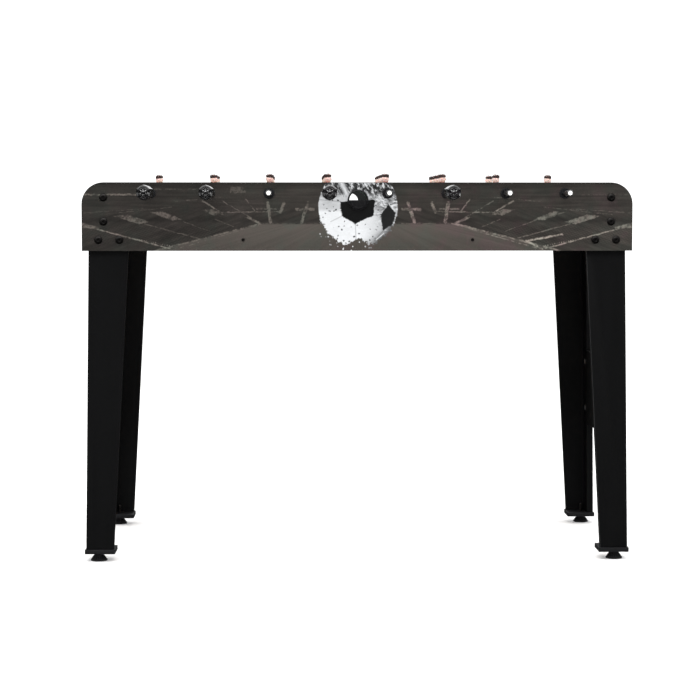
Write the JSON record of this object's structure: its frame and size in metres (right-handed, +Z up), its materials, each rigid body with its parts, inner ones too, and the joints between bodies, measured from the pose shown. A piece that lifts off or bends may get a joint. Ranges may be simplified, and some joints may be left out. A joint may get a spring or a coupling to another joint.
{
  "type": "foosball table",
  "caption": "Foosball table on tapered legs with levelling feet, an open printed box with sliding, turning player rods, end goals and side ball entries.",
  "frame": {"origin": "on the floor under the middle of the table's bounding box", "axes": "+X along the playfield towards the right goal, +Y away from the near player, +Z up"},
  "size_m": [1.212, 1.02, 0.861],
  "materials": {
    "printed_board": "satin printed foil",
    "edge_strip": "satin",
    "dark_board": "satin foil",
    "field_board": "satin printed foil",
    "raw_board": "raw",
    "field_plastic": "satin",
    "black_plastic": "satin",
    "dark_steel": "blackened",
    "leg_board": "satin black foil",
    "zinc_steel": "zinc plated",
    "foot_plastic": "satin",
    "rod_steel": "polished",
    "near_men": "moulded",
    "far_men": "moulded",
    "grip_plastic": "gloss",
    "stop_rubber": "matte"
  },
  "bodies": {
    "frame": {"front_side_panel": "printed_board", "rear_side_panel": "printed_board", "edge_bands": "edge_strip", "right_end_panel": "dark_board", "left_end_panel": "dark_board", "playfield": "field_board", "playfield_beams": "raw_board", "corner_ramps": "field_plastic", "right_goal_tray": "black_plastic", "left_goal_tray": "black_plastic", "ball_entries": "black_plastic", "rod_bearings": "black_plastic", "bearing_nuts": "black_plastic", "panel_bolts": "dark_steel", "small_screws": "dark_steel", "front_right_leg": "leg_board", "front_left_leg": "leg_board", "rear_right_leg": "leg_board", "rear_left_leg": "leg_board", "right_end_rail": "leg_board", "left_end_rail": "leg_board", "rail_cams": "zinc_steel", "rail_pins": "zinc_steel", "leg_caps": "black_plastic"},
    "front_left_leveller_body": {"front_left_leveller": "foot_plastic"},
    "front_right_leveller_body": {"front_right_leveller": "foot_plastic"},
    "rear_left_leveller_body": {"rear_left_leveller": "foot_plastic"},
    "rear_right_leveller_body": {"rear_right_leveller": "foot_plastic"},
    "rod_1_carrier": {"rod_1_stops": "stop_rubber"},
    "rod_1_body": {"rod_1": "rod_steel", "rod_1_players": "near_men", "rod_1_handle": "grip_plastic"},
    "rod_2_carrier": {"rod_2_stops": "stop_rubber"},
    "rod_2_body": {"rod_2": "rod_steel", "rod_2_players": "near_men", "rod_2_handle": "grip_plastic"},
    "rod_3_carrier": {"rod_3_stops": "stop_rubber"},
    "rod_3_body": {"rod_3": "rod_steel", "rod_3_players": "far_men", "rod_3_handle": "grip_plastic"},
    "rod_4_carrier": {"rod_4_stops": "stop_rubber"},
    "rod_4_body": {"rod_4": "rod_steel", "rod_4_players": "near_men", "rod_4_handle": "grip_plastic"},
    "rod_5_carrier": {"rod_5_stops": "stop_rubber"},
    "rod_5_body": {"rod_5": "rod_steel", "rod_5_players": "far_men", "rod_5_handle": "grip_plastic"},
    "rod_6_carrier": {"rod_6_stops": "stop_rubber"},
    "rod_6_body": {"rod_6": "rod_steel", "rod_6_players": "near_men", "rod_6_handle": "grip_plastic"},
    "rod_7_carrier": {"rod_7_stops": "stop_rubber"},
    "rod_7_body": {"rod_7": "rod_steel", "rod_7_players": "far_men", "rod_7_handle": "grip_plastic"},
    "rod_8_carrier": {"rod_8_stops": "stop_rubber"},
    "rod_8_body": {"rod_8": "rod_steel", "rod_8_players": "far_men", "rod_8_handle": "grip_plastic"}
  },
  "joints": [
    {"name": "front_left_leveller_screw", "type": "slide", "parent": "frame", "child": "front_left_leveller_body", "axis": [0, 0, 1], "range_m": [-0.012, 0.003]},
    {"name": "front_right_leveller_screw", "type": "slide", "parent": "frame", "child": "front_right_leveller_body", "axis": [0, 0, 1], "range_m": [-0.012, 0.003]},
    {"name": "rear_left_leveller_screw", "type": "slide", "parent": "frame", "child": "rear_left_leveller_body", "axis": [0, 0, 1], "range_m": [-0.012, 0.003]},
    {"name": "rear_right_leveller_screw", "type": "slide", "parent": "frame", "child": "rear_right_leveller_body", "axis": [0, 0, 1], "range_m": [-0.012, 0.003]},
    {"name": "rod_1_slide", "type": "slide", "parent": "frame", "child": "rod_1_carrier", "axis": [0, 1, 0], "range_m": [-0.075, 0.075]},
    {"name": "rod_1_spin", "type": "hinge", "parent": "rod_1_carrier", "child": "rod_1_body", "pos_m": [-0.455, 0, 0.817], "axis": [0, 1, 0], "continuous": true},
    {"name": "rod_2_slide", "type": "slide", "parent": "frame", "child": "rod_2_carrier", "axis": [0, 1, 0], "range_m": [-0.075, 0.075]},
    {"name": "rod_2_spin", "type": "hinge", "parent": "rod_2_carrier", "child": "rod_2_body", "pos_m": [-0.325, 0, 0.817], "axis": [0, 1, 0], "continuous": true},
    {"name": "rod_3_slide", "type": "slide", "parent": "frame", "child": "rod_3_carrier", "axis": [0, 1, 0], "range_m": [-0.075, 0.075]},
    {"name": "rod_3_spin", "type": "hinge", "parent": "rod_3_carrier", "child": "rod_3_body", "pos_m": [-0.195, 0, 0.817], "axis": [0, 1, 0], "continuous": true},
    {"name": "rod_4_slide", "type": "slide", "parent": "frame", "child": "rod_4_carrier", "axis": [0, 1, 0], "range_m": [-0.055, 0.055]},
    {"name": "rod_4_spin", "type": "hinge", "parent": "rod_4_carrier", "child": "rod_4_body", "pos_m": [-0.065, 0, 0.817], "axis": [0, 1, 0], "continuous": true},
    {"name": "rod_5_slide", "type": "slide", "parent": "frame", "child": "rod_5_carrier", "axis": [0, 1, 0], "range_m": [-0.055, 0.055]},
    {"name": "rod_5_spin", "type": "hinge", "parent": "rod_5_carrier", "child": "rod_5_body", "pos_m": [0.065, 0, 0.817], "axis": [0, 1, 0], "continuous": true},
    {"name": "rod_6_slide", "type": "slide", "parent": "frame", "child": "rod_6_carrier", "axis": [0, 1, 0], "range_m": [-0.075, 0.075]},
    {"name": "rod_6_spin", "type": "hinge", "parent": "rod_6_carrier", "child": "rod_6_body", "pos_m": [0.195, 0, 0.817], "axis": [0, 1, 0], "continuous": true},
    {"name": "rod_7_slide", "type": "slide", "parent": "frame", "child": "rod_7_carrier", "axis": [0, 1, 0], "range_m": [-0.075, 0.075]},
    {"name": "rod_7_spin", "type": "hinge", "parent": "rod_7_carrier", "child": "rod_7_body", "pos_m": [0.325, 0, 0.817], "axis": [0, 1, 0], "continuous": true},
    {"name": "rod_8_slide", "type": "slide", "parent": "frame", "child": "rod_8_carrier", "axis": [0, 1, 0], "range_m": [-0.075, 0.075]},
    {"name": "rod_8_spin", "type": "hinge", "parent": "rod_8_carrier", "child": "rod_8_body", "pos_m": [0.455, 0, 0.817], "axis": [0, 1, 0], "continuous": true}
  ]
}
